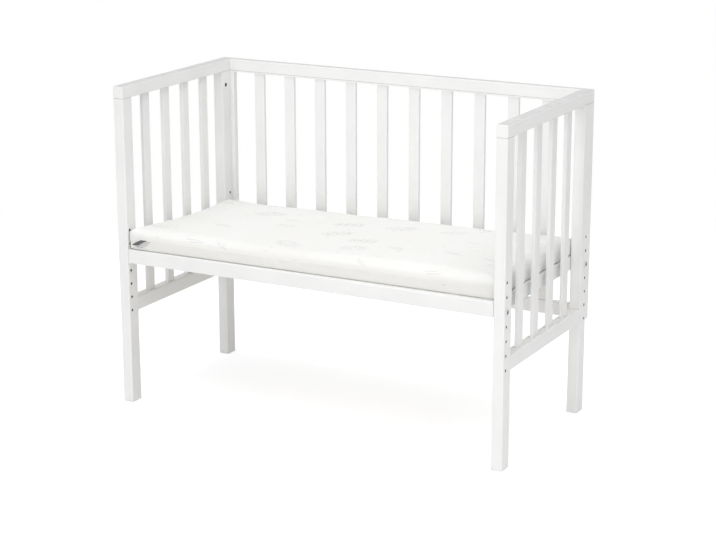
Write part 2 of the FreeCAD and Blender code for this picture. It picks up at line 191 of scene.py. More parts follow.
def newFinish(name):
    return Finish(bpy.data.materials.new(name))


def rgb(red, green, blue):
    return (red, green, blue, 1.0)


def along(axis, lengthwise, across):
    # three scales for a pattern that runs along one axis
    return tuple(lengthwise if name == axis else across for name in "xyz")


# White lacquer on wood

lacquerLook = {
    "white": rgb(0.880, 0.880, 0.873),
    "shade": rgb(0.855, 0.856, 0.850),
    "patchesPerMetre": 9.0,
    "patchContrast": (0.35, 0.65),
    "grainDark": rgb(0.81, 0.805, 0.79),
    "grainShare": 0.30,
    "grainPerMetre": 330.0,
    "grainStretch": 0.035,          # width of the grain over its length
    "grainContrast": (0.52, 0.78),
    "grainRelief": 0.10 * mm,
    "reliefShares": (0.7, 0.3),     # of the grain and of the pores
    "poresPerMetre": 1056.0,
    "peelPerMetre": 420.0,          # fine unevenness of the sprayed coat
    "peelRelief": 0.03 * mm,
    "scuff": rgb(0.55, 0.53, 0.50),
    "scuffShare": 0.55,
    "scuffsPerMetre": 160.0,
    "scuffContrast": (0.52, 0.66),
    "footWear": 14 * mm,            # scuffs reach up to here
    "paintedTopShade": rgb(0.56, 0.56, 0.555),   # painted shade on the top faces of the top rails
    "topSkin": (1.2 * mm, 0.2 * mm),       # under the top: where that begins and is full
    "baseTopSkin": (0.2 * mm, 1.0 * mm),
    "baseTopShadeShare": 0.15,
    "topShadeBlotchesPerMetre": 45.0,
    "topShadeBlotchContrast": (0.25, 0.6),
    "leastTopShade": 0.75,
    "jointLine": rgb(0.42, 0.41, 0.39),
    "jointShare": 0.6,
    "jointHalf": 0.5 * mm,
    "jointFade": 0.4 * mm,
    "shadedRawWood": rgb(0.20, 0.165, 0.13),     # inside the bores: bare wood, darkened with painted shade
    "shadedRawPore": rgb(0.10, 0.08, 0.06),
    "rawPoreShare": 0.5,
    "rawPerMetre": 1500.0,
    "rawContrast": (0.3, 0.7),
    "faceMargin": 0.7 * mm,
    "boreMargin": 0.1 * mm,
    "roughness": 0.42,
    "roughnessSpread": 0.10,
    "grainRoughness": 0.08,
    "rawRoughness": 0.4,
}


def boredInside(x, y, z):
    # 1 on the walls of a post's height holes and cross nut holes
    look = lacquerLook
    pitch = fittings["holePitch"]
    fromRow = abs(((z - boltHeight) / pitch + 0.5).fraction() - 0.5) * pitch
    fromHole = (fromRow ** 2.0 + y.nearest(boltLines) ** 2.0).root()
    fromNutHole = (z.nearest(backBoltHeights) ** 2.0 + abs(y - backNutY) ** 2.0).root()
    inPost = (abs(x) > postLow.x + look["faceMargin"]) * (abs(x) < postHigh.x - look["faceMargin"])
    inRows = abs(z - middleRow) < pitch * fittings["rowsReach"]
    bored = (fromHole < fittings["holeRadius"] + look["boreMargin"]) * inRows
    return bored.most(fromNutHole < fittings["nutHoleRadius"] + look["boreMargin"]) * inPost


def lacquer(name, axis):
    look = lacquerLook
    finish = newFinish(name)
    place = finish.place()
    x, y, z = finish.split(place)
    lengthwise = finish.stretched(place, along(axis, look["grainStretch"], 1.0))
    grain = finish.cloud(lengthwise, look["grainPerMetre"], detail=5.0, roughness=0.62, distortion=0.35)
    pores = finish.cloud(lengthwise, look["poresPerMetre"], detail=2.0, roughness=0.7)
    patches = finish.cloud(place, look["patchesPerMetre"], detail=3.0)
    peel = finish.cloud(place, look["peelPerMetre"], detail=1.5, roughness=0.4)
    colour = finish.mixed(patches.ramp(*look["patchContrast"]), look["white"], look["shade"])
    colour = finish.mixed(grain.ramp(*look["grainContrast"]) * look["grainShare"], colour, look["grainDark"])
    # scuffed feet
    marks = finish.cloud(place, look["scuffsPerMetre"], detail=4.0, roughness=0.7)
    nearFloor = 1 - z.ramp(0.0, look["footWear"])
    scuffed = marks.ramp(*look["scuffContrast"]) * nearFloor * look["scuffShare"]
    colour = finish.mixed(scuffed, colour, look["scuff"])
    # painted shade on the top faces of the top rails, fainter on the base rails' tops, broken up by blotchy
    # noise
    topShadeBlotches = finish.cloud(place, look["topShadeBlotchesPerMetre"], detail=4.0, roughness=0.6).ramp(*look["topShadeBlotchContrast"])
    topShadeBlotches = topShadeBlotches * (1 - look["leastTopShade"]) + look["leastTopShade"]
    shadedTop = z.ramp(topRailHigh.z - look["topSkin"][0], topRailHigh.z - look["topSkin"][1])
    if axis != "z":
        shadedBaseTop = 1 - abs(z - baseRailHigh.z).ramp(*look["baseTopSkin"])
        shadedTop = shadedTop.most(shadedBaseTop * look["baseTopShadeShare"])
    colour = finish.mixed(shadedTop * topShadeBlotches, colour, look["paintedTopShade"])
    # joint lines between the posts and the top rails
    joint = 1 - abs(z - postHigh.z).ramp(look["jointHalf"], look["jointHalf"] + look["jointFade"])
    colour = finish.mixed(joint * look["jointShare"], colour, look["jointLine"])
    # bare wood in the bores, darkened with painted shade of the holes
    bored = boredInside(x, y, z)
    endGrain = finish.cloud(place, look["rawPerMetre"], detail=2.0).ramp(*look["rawContrast"])
    shadedRaw = finish.mixed(endGrain * look["rawPoreShare"], look["shadedRawWood"], look["shadedRawPore"])
    colour = finish.mixed(bored, colour, shadedRaw)
    roughness = look["roughness"] + (patches - 0.5) * look["roughnessSpread"]
    roughness = roughness + (grain - 0.5) * look["grainRoughness"] + bored * look["rawRoughness"]
    ofGrain, ofPores = look["reliefShares"]
    normal = finish.bump(grain * ofGrain + pores * ofPores, look["grainRelief"], strength=0.35)
    normal = finish.bump(peel, look["peelRelief"], strength=0.5, under=normal)
    return finish.surface(Base_Color=colour, Roughness=roughness, Normal=normal, IOR=1.45)


# Bare pine of the deck, and beech of the dowels

pineLook = {
    "early": rgb(0.84, 0.79, 0.70),
    "late": rgb(0.74, 0.64, 0.51),
    "boardShift": 0.37,             # metres from one board's place in the log to the next one's
    "grainStretch": 0.07,
    "warpPerMetre": 18.0,
    "warp": 0.02,
    "ringsPerMetre": 26.0,
    "ringContrast": (0.25, 0.9),
    "ringShare": 0.75,
    "fibresPerMetre": 900.0,
    "fibreContrast": (0.45, 0.75),
    "fibreShare": 0.35,
    "knot": rgb(0.42, 0.28, 0.18),
    "knotShare": 0.9,
    "knotsPerMetre": 7.0,
    "knotStretch": 0.55,
    "knotRadius": (0.035, 0.07),    # in shares of the space between knots
    "swirlRadius": (0.05, 0.30),    # rings bend around a knot this far
    "swirl": 0.012,
    "relief": 0.25 * mm,
    "reliefShares": (0.6, 0.4),     # of the fibres and of the rings
    "roughness": 0.62,
    "roughnessSpread": 0.2,
    "knotPolish": 0.15,
}


def boardNumber(x, y, axis):
    # each board has its own number, so that no two look alike
    if axis == "y":
        gapMiddle = (deckHigh.x + nextDeckLow.x) / 2
        return ((x - gapMiddle) / (nextDeckLow.x - deckLow.x)).whole()
    return y.maths("SIGN")


def barePine(name, axis):
    look = pineLook
    finish = newFinish(name)
    x, y, z = finish.split(finish.place())
    shifted = finish.joined(x, y, z + boardNumber(x, y, axis) * look["boardShift"])
    lengthwise = finish.stretched(shifted, along(axis, look["grainStretch"], 1.0))
    warp = finish.cloud(lengthwise, look["warpPerMetre"], detail=2.0)
    knotPlace = finish.stretched(shifted, along(axis, look["knotStretch"], 1.0))
    knotInputs = {"Vector": knotPlace, "Scale": look["knotsPerMetre"]}
    fromKnot = finish.node("ShaderNodeTexVoronoi", inputs=knotInputs, output="Distance")
    knot = 1 - fromKnot.ramp(*look["knotRadius"])
    swirl = 1 - fromKnot.ramp(*look["swirlRadius"])
    bent = [part + warp * look["warp"] + swirl * look["swirl"] for part in finish.split(lengthwise)]
    rings = finish.node("ShaderNodeTexWave", {"wave_type": "RINGS", "rings_direction": axis.upper()}, {
        "Vector": finish.joined(*bent), "Scale": look["ringsPerMetre"],
        "Distortion": 2.4, "Detail": 3.0, "Detail Scale": 1.6}, output=1)
    fibres = finish.cloud(lengthwise, look["fibresPerMetre"], detail=3.0, roughness=0.65)
    colour = finish.mixed(rings.ramp(*look["ringContrast"]) * look["ringShare"], look["early"], look["late"])
    colour = finish.mixed(fibres.ramp(*look["fibreContrast"]) * look["fibreShare"], colour, look["late"])
    colour = finish.mixed(knot * look["knotShare"], colour, look["knot"])
    ofFibres, ofRings = look["reliefShares"]
    normal = finish.bump(fibres * ofFibres + rings * ofRings, look["relief"], strength=0.6)
    roughness = look["roughness"] + (fibres - 0.5) * look["roughnessSpread"] - knot * look["knotPolish"]
    return finish.surface(Base_Color=colour, Roughness=roughness, Normal=normal)


beechLook = {
    "pale": rgb(0.70, 0.50, 0.33),
    "dark": rgb(0.47, 0.28, 0.16),
    "flecksPerMetre": 1400.0,
    "fleckStretch": (1.0, 0.4, 0.4),
    "fleckContrast": (0.4, 0.7),
    "relief": 0.1 * mm,
    "roughness": 0.6,
    "roughnessSpread": 0.2,
}


def dowelBeech(name):
    look = beechLook
    finish = newFinish(name)
    lengthwise = finish.stretched(finish.place(), look["fleckStretch"])
    flecks = finish.cloud(lengthwise, look["flecksPerMetre"], detail=3.0, roughness=0.7)
    colour = finish.mixed(flecks.ramp(*look["fleckContrast"]), look["pale"], look["dark"])
    roughness = look["roughness"] + flecks * look["roughnessSpread"]
    normal = finish.bump(flecks, look["relief"], strength=0.5)
    return finish.surface(Base_Color=colour, Roughness=roughness, Normal=normal)


# Bolts, nuts and screws

steelLook = {
    "bright": rgb(0.26, 0.26, 0.27),
    "dull": rgb(0.15, 0.15, 0.16),
    "blotchesPerMetre": 260.0,
    "blotchContrast": (0.3, 0.7),
    "brightRim": rgb(0.72, 0.72, 0.71),
    "rimFrom": 4.4 * mm,
    "rimFade": 0.8 * mm,
    "rimShare": 0.95,
    "rimBlotches": 0.25,
    "ringPitch": 0.45 * mm,         # marks of turning
    "ringRelief": 0.02 * mm,
    "scratchesPerMetre": 2600.0,
    "scratchStretch": (0.2, 1.0, 0.35),
    "scratchContrast": (0.60, 0.68),
    "scratchRelief": 0.02 * mm,
    "metallic": 0.95,
    "roughness": 0.30,
    "blotchRoughness": 0.15,
    "scratchRoughness": 0.2,
    "rimPolish": 0.05,
}


def turnedSteel(name, radiusFrom):
    look = steelLook
    finish = newFinish(name)
    place = finish.place()
    radius = radiusFrom(*finish.split(place))
    rings = (radius * (2 * math.pi / look["ringPitch"])).sine() * 0.5 + 0.5
    blotches = finish.cloud(place, look["blotchesPerMetre"], detail=4.0, roughness=0.6)
    scratches = finish.cloud(finish.stretched(place, look["scratchStretch"]), look["scratchesPerMetre"])
    scratches = scratches.ramp(*look["scratchContrast"])
    rim = radius.ramp(look["rimFrom"], look["rimFrom"] + look["rimFade"])
    colour = finish.mixed(blotches.ramp(*look["blotchContrast"]), look["bright"], look["dull"])
    shining = rim * (look["rimShare"] - blotches * look["rimBlotches"])
    colour = finish.mixed(shining, colour, look["brightRim"])
    roughness = look["roughness"] + blotches * look["blotchRoughness"]
    roughness = roughness + scratches * look["scratchRoughness"] - rim * look["rimPolish"]
    normal = finish.bump(rings, look["ringRelief"], strength=0.35)
    normal = finish.bump(1 - scratches, look["scratchRelief"], strength=0.4, under=normal)
    return finish.surface(Base_Color=colour, Metallic=look["metallic"], Roughness=roughness, Normal=normal)


zincLook = {
    "bright": rgb(0.70, 0.70, 0.68),
    "yellowed": rgb(0.58, 0.57, 0.53),
    "tonePerMetre": 90.0,
    "toneContrast": (0.3, 0.7),
    "spanglesPerMetre": 420.0,
    "relief": 0.03 * mm,
    "metallic": 0.9,
    "roughness": 0.32,
    "roughnessSpread": 0.2,
}


def zincSteel(name):
    look = zincLook
    finish = newFinish(name)
    place = finish.place()
    spangleInputs = {"Vector": place, "Scale": look["spanglesPerMetre"]}
    spangle = finish.node("ShaderNodeTexVoronoi", inputs=spangleInputs, output="Distance")
    tone = finish.cloud(place, look["tonePerMetre"], detail=3.0)
    colour = finish.mixed(tone.ramp(*look["toneContrast"]), look["bright"], look["yellowed"])
    roughness = look["roughness"] + spangle * look["roughnessSpread"]
    normal = finish.bump(spangle, look["relief"], strength=0.5)
    return finish.surface(Base_Color=colour, Metallic=look["metallic"], Roughness=roughness, Normal=normal)


# Cloth of the mattress cover, with a generic print of sprigs, scribbles, dashes and flecks

printLook = {
    "spacing": 118 * mm,
    "looseness": 0.8,
    "turn": 1.2,                # whole range of a motif's slant, in radians
    "size": (0.8, 0.45),        # least size, and what chance adds to it
    "bendsPerMetre": 34.0,
    "bend": 2.6 * mm,
    "line": 0.65 * mm,
    "edge": 0.7 * mm,
    "sprigHalf": 30 * mm,
    "leafPitch": 15 * mm,
    "leafReach": 14 * mm,
    "leafHalf": (0.24, 0.42),   # in shares of their pitch and their reach
    "leafMiddle": 0.55,         # in shares of the reach
    "leafLean": 0.9,
    "leafAskew": 0.4,
    "leafOutline": 0.85,
    "leafInk": (0.14, 0.30),
    "patchHalf": (36 * mm, 19 * mm),
    "patchFade": (0.6, 1.0),
    "scribblePerMetre": 52.0,
    "scribbleLines": 9.0,
    "scribbleInk": (0.07, 0.17),
    "dashHalf": 15 * mm,
    "dashRow": 4 * mm,
    "kinds": (0.30, 0.62),      # chance of dashes up to the first, of sprigs up to the second
    "fleckSpacing": 31 * mm,
    "fleckLooseness": 0.9,
    "fleckStretch": 0.34,       # width of a fleck over its length
    "fleckHalf": 2.2 * mm,
    "fleckFrom": 0.62,          # only where chance is above this
    "fleckInk": 0.6,
}


def sprigInk(across, aside):
    # a stem with outlined leaves on both sides
    look = printLook
    off = abs(aside)
    leafPlace = (across - off * look["leafLean"] + aside * look["leafAskew"]) / look["leafPitch"]
    fromLeaf = abs(leafPlace.fraction() - 0.5) * look["leafPitch"]
    leafHigh = off - look["leafReach"] * look["leafMiddle"]
    leafShape = (fromLeaf / (look["leafPitch"] * look["leafHalf"][0])) ** 2.0
    leafShape = leafShape + (abs(leafHigh) / (look["leafReach"] * look["leafHalf"][1])) ** 2.0
    leaves = 1 - abs(leafShape.root() - look["leafOutline"]).ramp(*look["leafInk"])
    stem = 1 - off.ramp(look["line"], look["line"] + look["edge"])
    return leaves.most(stem) * (1 - abs(across).ramp(look["sprigHalf"] - look["edge"], look["sprigHalf"]))


def scribbleInk(finish, plan, across, aside):
    # a patch of fine wandering lines
    look = printLook
    patchShape = (across / look["patchHalf"][0]) ** 2.0 + (aside / look["patchHalf"][1]) ** 2.0
    field = finish.cloud(plan, look["scribblePerMetre"], detail=1.0)
    lines = 1 - abs((field * look["scribbleLines"]).fraction() - 0.5).ramp(*look["scribbleInk"])
    return lines * (1 - patchShape.ramp(*look["patchFade"]))


def dashInk(across, aside):
    look = printLook
    pair = 1 - abs(abs(aside) - look["dashRow"]).ramp(look["line"], look["line"] + look["edge"])
    return pair * (1 - abs(across + aside).ramp(look["dashHalf"], look["dashHalf"] + look["edge"]))


def fleckInk(finish, plan, cells):
    # short flecks between the motifs
    look = printLook
    fine = finish.stretched(plan, (look["fleckStretch"], 1.0, 1.0))
    inputs = {"Vector": fine, "Scale": 1 / look["fleckSpacing"], "Randomness": look["fleckLooseness"]}
    away = finish.node("ShaderNodeTexVoronoi", cells, inputs, output="Distance") * look["fleckSpacing"]
    chance = finish.split(finish.node("ShaderNodeTexVoronoi", cells, inputs, output="Color"))[0]
    fleck = 1 - away.ramp(look["fleckHalf"] - look["edge"], look["fleckHalf"])
    return fleck * (chance > look["fleckFrom"]) * look["fleckInk"]


def coverPrint(finish, plan):
    # ink of all motifs, and the chance that sets each one's size and strength
    look = printLook
    cells = {"voronoi_dimensions": "2D", "feature": "F1"}
    inputs = {"Vector": plan, "Scale": 1 / look["spacing"], "Randomness": look["looseness"]}
    centre = finish.node("ShaderNodeTexVoronoi", cells, inputs, output="Position")
    chance = finish.node("ShaderNodeTexVoronoi", cells, inputs, output="Color")
    turn, kind, size = finish.split(chance)
    offset = finish.node("ShaderNodeVectorMath", {"operation": "SUBTRACT"}, {0: plan, 1: centre})
    u, v = finish.split(offset)[:2]
    angle = (turn - 0.5) * look["turn"]
    grow = look["size"][0] + size * look["size"][1]
    across = (u * angle.cosine() + v * angle.sine()) / grow
    aside = (v * angle.cosine() - u * angle.sine()) / grow
    aside = aside + (across * look["bendsPerMetre"]).sine() * look["bend"]
    dashesTo, sprigsTo = look["kinds"]
    motif = sprigInk(across, aside) * (kind > dashesTo) * (kind < sprigsTo)
    motif = motif + scribbleInk(finish, plan, across, aside) * (kind > sprigsTo)
    motif = motif + dashInk(across, aside) * (kind < dashesTo)
    return motif.most(fleckInk(finish, plan, cells)), size


coverLook = {
    "white": rgb(0.875, 0.873, 0.862),
    "warm": rgb(0.865, 0.860, 0.838),
    "tonePerMetre": 5.0,
    "toneContrast": (0.35, 0.65),
    # painted shade for the front and back sides of the cover
    "border": rgb(0.810, 0.802, 0.775),
    "sideShadeShare": 0.9,
    "sideShadeFade": (13 * mm, 3 * mm),    # under the border's top: where the painted side shade is full and ends
    "endFade": (6 * mm, 2 * mm),        # from the two ends: where the painted side shade ends, leaving the ends white as painted light
    "ink": rgb(0.50, 0.51, 0.52),
    "inkShare": 0.62,
    "inkFrom": (5 * mm, 8 * mm),        # above the underside
    "inkByMotif": (0.65, 0.35),         # least share, and what chance adds to it
    "inkByYarn": (0.75, 0.35),          # share between the yarns, and what their crests add to it
    "shadow": rgb(0.70, 0.69, 0.66),    # between the yarns
    "yarnPitch": 1.5 * mm,
    "yarnShadow": 0.06,
    "yarnRelief": 0.30 * mm,
    "wanderPerMetre": 14.0,
    "wander": 3 * mm,
    "slubsPerMetre": 520.0,
    "slubStretch": (0.16, 1.0, 1.0),
    "slubContrast": (0.55, 0.75),
    "slubShadow": 0.05,
    "foldsPerMetre": 26.0,
    "foldStretch": (0.8, 1.0, 1.6),
    "foldRelief": 1.6 * mm,
    "roughness": 0.86,
    "roughnessSpread": 0.1,
}


def knittedCover(name):
    look = coverLook
    finish = newFinish(name)
    place = finish.place()
    plan = finish.node("ShaderNodeUVMap", {"uv_map": "clothPlan"})
    x, y, z = finish.split(place)
    wander = finish.cloud(place, look["wanderPerMetre"], detail=2.0) * look["wander"]
    turns = 2 * math.pi / look["yarnPitch"]
    yarns = ((x + wander) * turns).sine() + ((y + wander) * turns).sine() + ((z - wander) * turns).sine()
    yarns = yarns / 6 + 0.5      # from 0 to 1
    slubPlace = finish.stretched(place, look["slubStretch"])
    slubs = finish.cloud(slubPlace, look["slubsPerMetre"], detail=3.0, roughness=0.6)
    tone = finish.cloud(place, look["tonePerMetre"], detail=2.0).ramp(*look["toneContrast"])
    colour = finish.mixed(tone, look["white"], look["warm"])
    # painted shade: the front and back sides darker than the top, the ends left white as painted light
    fullBelow, endsBelow = look["sideShadeFade"]
    endsFrom, whiteFrom = look["endFade"]
    onEnds = abs(x - mattressMiddle.x).ramp(mattressHalf.x - endsFrom, mattressHalf.x - whiteFrom)
    shadedSides = (1 - z.ramp(borderTop - fullBelow, borderTop - endsBelow)) * (1 - onEnds)
    colour = finish.mixed(shadedSides * look["sideShadeShare"], colour, look["border"])
    shadow = (1 - yarns) * look["yarnShadow"] + slubs.ramp(*look["slubContrast"]) * look["slubShadow"]
    colour = finish.mixed(shadow, colour, look["shadow"])
    # the print, stronger on the yarns' crests
    motif, strength = coverPrint(finish, plan)
    above = z.ramp(mattressLow.z + look["inkFrom"][0], mattressLow.z + look["inkFrom"][1])
    byMotif = look["inkByMotif"][0] + strength * look["inkByMotif"][1]
    byYarn = look["inkByYarn"][0] + yarns * look["inkByYarn"][1]
    inked = motif * above * look["inkShare"] * byMotif * byYarn
    colour = finish.mixed(inked, colour, look["ink"])
    folds = finish.cloud(finish.stretched(place, look["foldStretch"]), look["foldsPerMetre"], detail=3.0)
    normal = finish.bump(folds, look["foldRelief"], strength=0.30)
    normal = finish.bump(yarns, look["yarnRelief"], strength=0.5, under=normal)
    roughness = look["roughness"] + (slubs - 0.5) * look["roughnessSpread"]
    return finish.surface(Base_Color=colour, Roughness=roughness, Normal=normal, Sheen_Weight=0.04,
                          Sheen_Roughness=0.5, Specular_IOR_Level=0.25)


tapeLook = {
    "threadPitch": 0.55 * mm,
    "threadShare": 0.35,
    "lintPerMetre": 700.0,
    "lintContrast": (0.55, 0.75),
    "lintShare": 0.2,
    "stripePitch": 3.2 * mm,
    "stripeEdge": (0.12, 0.22),
    "stripeShare": 0.8,
    "relief": 0.12 * mm,
    "roughness": 0.8,
    "threadPolish": 0.1,
}


def wovenTape(name, colour, thread, stripe):
    look = tapeLook
    finish = newFinish(name)
    place = finish.place()
    x, y, z = finish.split(place)
    turns = 2 * math.pi / look["threadPitch"]
    diagonal = 0.707             # the threads run aslant
    across = ((x - y) * diagonal * turns).sine()
    lengthwise = ((x + y) * diagonal * turns).sine()
    weave = (across * lengthwise) * 0.5 + 0.5
    lint = finish.cloud(place, look["lintPerMetre"], detail=3.0).ramp(*look["lintContrast"])
    shade = finish.mixed(weave * look["threadShare"] + lint * look["lintShare"], colour, thread)
    fromStripe = abs(((z - labelLow.z) / look["stripePitch"]).fraction() - 0.5)
    shade = finish.mixed((1 - fromStripe.ramp(*look["stripeEdge"])) * look["stripeShare"], shade, stripe)
    normal = finish.bump(weave, look["relief"], strength=0.7)
    roughness = look["roughness"] - weave * look["threadPolish"]
    return finish.surface(Base_Color=shade, Roughness=roughness, Normal=normal, Sheen_Weight=0.2)


# Finishes on the wooden and metal pieces

finishes = {
    "uprightLacquer": lacquer("lacquer_upright", "z"),
    "lengthLacquer": lacquer("lacquer_lengthwise", "x"),
    "depthLacquer": lacquer("lacquer_depthwise", "y"),
    "slatPine": barePine("pine_deck_slats", "y"),
    "ledgePine": barePine("pine_ledges", "x"),
    "beech": dowelBeech("beech_dowels"),
    "baseBolt": turnedSteel("steel_base_bolts", lambda x, y, z: (
        y.nearest(boltLines) ** 2.0 + abs(z - boltHeight) ** 2.0).root()),
    "backBolt": turnedSteel("steel_back_bolts", lambda x, y, z: (
        abs(x).nearest((backBoltX,)) ** 2.0 + z.nearest(backBoltHeights) ** 2.0).root()),
    "zinc": zincSteel("zinc_fittings"),
    "cover": knittedCover("mattress_cover"),
    "darkTape": wovenTape("label_dark", colour=rgb(0.095, 0.095, 0.10), thread=rgb(0.17, 0.17, 0.175),
                          stripe=rgb(0.12, 0.12, 0.125)),
    "paleTape": wovenTape("label_pale", colour=rgb(0.70, 0.70, 0.69), thread=rgb(0.55, 0.55, 0.55),
                          stripe=rgb(0.27, 0.27, 0.28)),
}


def finishFor(name):
    if name.startswith("deck_slat"):
        return "slatPine"
    if name.endswith("ledge"):
        return "ledgePine"
    if name.endswith("dowels"):
        return "beech"
    if name == "base_bolts":
        return "baseBolt"
    if name == "back_bolts":
        return "backBolt"
    if name.endswith("nuts") or name.endswith("screws"):
        return "zinc"
    if name in ("back_top_rail", "back_lower_rail", "base_front_rail", "base_rear_rail"):
        return "lengthLacquer"
    if name.endswith("rail"):
        return "depthLacquer"
    return "uprightLacquer"


def paint(piece, material):
    if not piece.material_slots:
        piece.data.materials.append(material)
    for slot in piece.material_slots:
        slot.material = material


for name, piece in nodes.items():
    if not name.startswith("mattress"):
        paint(piece, finishes[finishFor(name)])
print("finishes on the wood and the fittings")


# Mattress: a block of filling, blown up against its cover by simulation, then sewn

mattressLook = {
    "startInset": 5.0 * mm,     # the simulation starts this much smaller
    "startLift": 0.2 * mm,
    "cornerRadius": 8 * mm,
    "cornerSteps": 6,
    "topRound": 7 * mm,
    "topSteps": 4,
    "lowRound": 3 * mm,
    "lowSteps": 3,
    "crown": crownHeight,
    "crownReach": 170 * mm,
    "drawIn": 2 * mm,           # how far each side pulls in between its corners
    "askew": 6 * mm,            # its left end lies this much forward, its right end back
    "frontSpread": 5 * mm,      # the front border lies this much further forward
    "borderReach": 14 * mm,     # seam, puckers and foot are made this near to the sides
    "borderBand": (16 * mm, 30 * mm),   # from the sides: where the border's height is measured
    "footSpread": 2.5 * mm,     # its lowest part is pressed outwards
    "footHigh": 6 * mm,
    "footEdge": 3.2 * mm,       # and its very edge lies flat on the rails
    "footEdgeHigh": 1.3 * mm,
    "footSink": 0.35 * mm,
    "cornerPull": 2.4 * mm,     # the upright corners are stuffed fuller than the rounding
    "endSpread": 0.8 * mm,      # the blown cover reaches this much past the CAD solid's ends
    "voxel": 6.5 * mm,
    "pressure": 2.5,
    "looseCover": 0.012,        # the cover is cut this share too large
    "clothQuality": 5,
    "clothMass": 0.3,
    "restingHigh": 3 * mm,      # up to here the deck holds the cover still
    "seamHold": 0.6,            # and the seam is held by this share
    "seamHoldHigh": 3.3 * mm,
    "seamHoldReach": 12 * mm,
    "frames": 20,
    "riseLimit": 2.5 * mm,
    "sideLimit": 4.5 * mm,
    "seamUnderLabel": 1.0 * mm,
    "seamDepth": 1.1 * mm,
    "seamHalfWidth": 2.4 * mm,
    "puckerPitch": 17 * mm,
    "puckerDepth": 0.7 * mm,
    "puckerHigh": 9.6 * mm,
    "puckerSides": (3, 5),      # so that each side has other puckers
    "swell": 1.6 * mm,
    "swellsPerMetre": 9,
    "swellPlace": 3.1,          # in the noise
    "liftFade": 1.5,            # power by which the unevenness fades downwards
    "planFold": 16 * mm,        # the print runs down the sides this near to them
    "planShift": 2.0,           # metres, to keep the plan away from 0
}
seamHeight = labelHigh.z - mattressLook["seamUnderLabel"]
tiny = 0.01 * mm

# soft unevenness of the top: place as a share of each half size, lift, and reach of the lift
unevenTop = [
    {"at": (-0.95, -0.95), "lift": 3 * mm, "reach": 150 * mm},
    {"at": (-1.0, -1.0), "lift": 4 * mm, "reach": 28 * mm},
    {"at": (-0.16, -0.95), "lift": -6 * mm, "reach": 150 * mm},
    {"at": (0.75, -0.95), "lift": 4 * mm, "reach": 300 * mm},
    {"at": (-1.0, 0.0), "lift": -4 * mm, "reach": 120 * mm},
    {"at": (-0.95, 0.95), "lift": -10 * mm, "reach": 160 * mm},
    {"at": (-0.3, 0.95), "lift": -6 * mm, "reach": 240 * mm},
    {"at": (0.6, 0.95), "lift": -2 * mm, "reach": 240 * mm},
]


def meshFrom(name, shape):
    mesh = bpy.data.meshes.new(name)
    shape.to_mesh(mesh)
    shape.free()
    return mesh


def newPiece(name, mesh, material):
    piece = bpy.data.objects.new(name, mesh)
    scene.collection.objects.link(piece)
    mesh.materials.append(material)
    return piece


def settled(piece):
    # the mesh as its modifiers leave it
    graph = bpy.context.evaluated_depsgraph_get()
    mesh = bpy.data.meshes.new_from_object(piece.evaluated_get(graph))
    old = piece.data
    piece.modifiers.clear()
    piece.data = mesh
    bpy.data.meshes.remove(old)
    return piece


def addSmoothing(piece):
    smoother = piece.modifiers.new("smooth", "SUBSURF")
    smoother.levels = smoother.render_levels = 1


def shadeSmooth(piece):
    for polygon in piece.data.polygons:
        polygon.use_smooth = True


def bell(distance, width):
    # 1 at no distance, 0 from about twice the width
    return math.exp(-(distance / width) ** 2)


def towardBorder(point):
    # how near a point is to the sides, and the way outwards there
    x = point.x - mattressMiddle.x
    y = point.y - mattressMiddle.y
    gapX = mattressHalf.x - abs(x)
    gapY = mattressHalf.y - abs(y)
    corner = mattressLook["cornerRadius"]
    if gapX < corner and gapY < corner:
        away = Vector((math.copysign(corner - gapX, x), math.copysign(corner - gapY, y), 0))
        return corner - away.length, away.normalized()
    if gapX < gapY:
        return gapX, Vector((math.copysign(1, x), 0, 0))
    return gapY, Vector((0, math.copysign(1, y), 0))


def isRim(edge, level):
    # between a level face and an upright one
    if len(edge.link_faces) != 2 or any(abs(vert.co.z - level) >= tiny for vert in edge.verts):
        return False
    return abs(edge.link_faces[0].normal.z) + abs(edge.link_faces[1].normal.z) < 1.5


def softBlock():
    look = mattressLook
    inset = look["startInset"]
    low = mattressLow + Vector((inset, inset, look["startLift"]))
    high = Vector((mattressHigh.x - inset, mattressHigh.y - inset, borderTop - inset))
    shape = bmesh.new()
    bmesh.ops.create_cube(shape, size=1.0)
    bmesh.ops.scale(shape, vec=high - low, verts=shape.verts)
    bmesh.ops.translate(shape, vec=(high + low) / 2, verts=shape.verts)
    upright = [edge for edge in shape.edges if abs(edge.verts[0].co.z - edge.verts[1].co.z) > tiny]
    bmesh.ops.bevel(shape, geom=upright, offset=look["cornerRadius"], segments=look["cornerSteps"],
                    profile=0.5, affect="EDGES", material=-1)
    for level, end in ((high.z, "top"), (low.z, "low")):
        rim = [edge for edge in shape.edges if isRim(edge, level)]
        bmesh.ops.bevel(shape, geom=rim, offset=look[end + "Round"], segments=look[end + "Steps"],
                        profile=0.5, affect="EDGES", material=-1)
    bmesh.ops.recalc_face_normals(shape, faces=shape.faces)
    return meshFrom("mattress_cover", shape)


def shapeFilling(piece):
    # its crown, and its sides that pull in between the corners
    look = mattressLook
    for vert in piece.data.vertices:
        gap = towardBorder(vert.co)[0]
        height = (vert.co.z - mattressLow.z) / (mattressHigh.z - mattressLow.z)
        share = min(1.0, gap / look["crownReach"])
        vert.co.z += look["crown"] * math.sin(share * math.pi / 2) * max(0.0, height) ** 2
        x = (vert.co.x - mattressMiddle.x) / mattressHalf.x
        y = (vert.co.y - mattressMiddle.y) / mattressHalf.y
        vert.co.x -= look["drawIn"] * x * (1 - y * y)
        vert.co.y -= look["drawIn"] * y * (1 - x * x)


